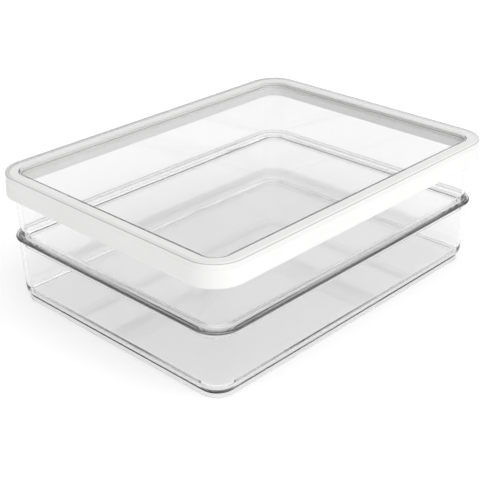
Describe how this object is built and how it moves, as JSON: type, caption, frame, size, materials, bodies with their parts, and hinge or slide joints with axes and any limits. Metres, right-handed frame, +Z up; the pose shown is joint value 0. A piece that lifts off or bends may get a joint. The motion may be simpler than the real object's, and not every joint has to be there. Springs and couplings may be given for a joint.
{
  "type": "cold cuts container",
  "caption": "Flat rectangular food box of stacked clear trays with bead rims, closed by a lift-off lid with a white frame and a recessed clear window.",
  "frame": {"origin": "on the table, under the middle of the lower tray's foot ring", "axes": "+X along the long side, +Y along the short side, +Z up, the way the lid and the upper tray lift off"},
  "size_m": [0.251, 0.1884, 0.0854],
  "materials": {
    "clear_tray": "clear polished moulding",
    "clear_panel": "clear polished moulding",
    "white_frame": "white satin moulding",
    "soft_seal": "matt translucent white soft plastic"
  },
  "bodies": {
    "lower": {"lower_tray": "clear_tray"},
    "upper": {"upper_tray": "clear_tray"},
    "lid": {"lid_frame": "white_frame", "lid_panel": "clear_panel", "lid_seal": "soft_seal"}
  },
  "joints": [
    {"name": "upper_tray_lift", "type": "slide", "parent": "lower", "child": "upper", "axis": [0, 0, 1], "range_m": [0, 0.06]},
    {"name": "lid_lift", "type": "slide", "parent": "upper", "child": "lid", "axis": [0, 0, 1], "range_m": [0, 0.06]}
  ]
}
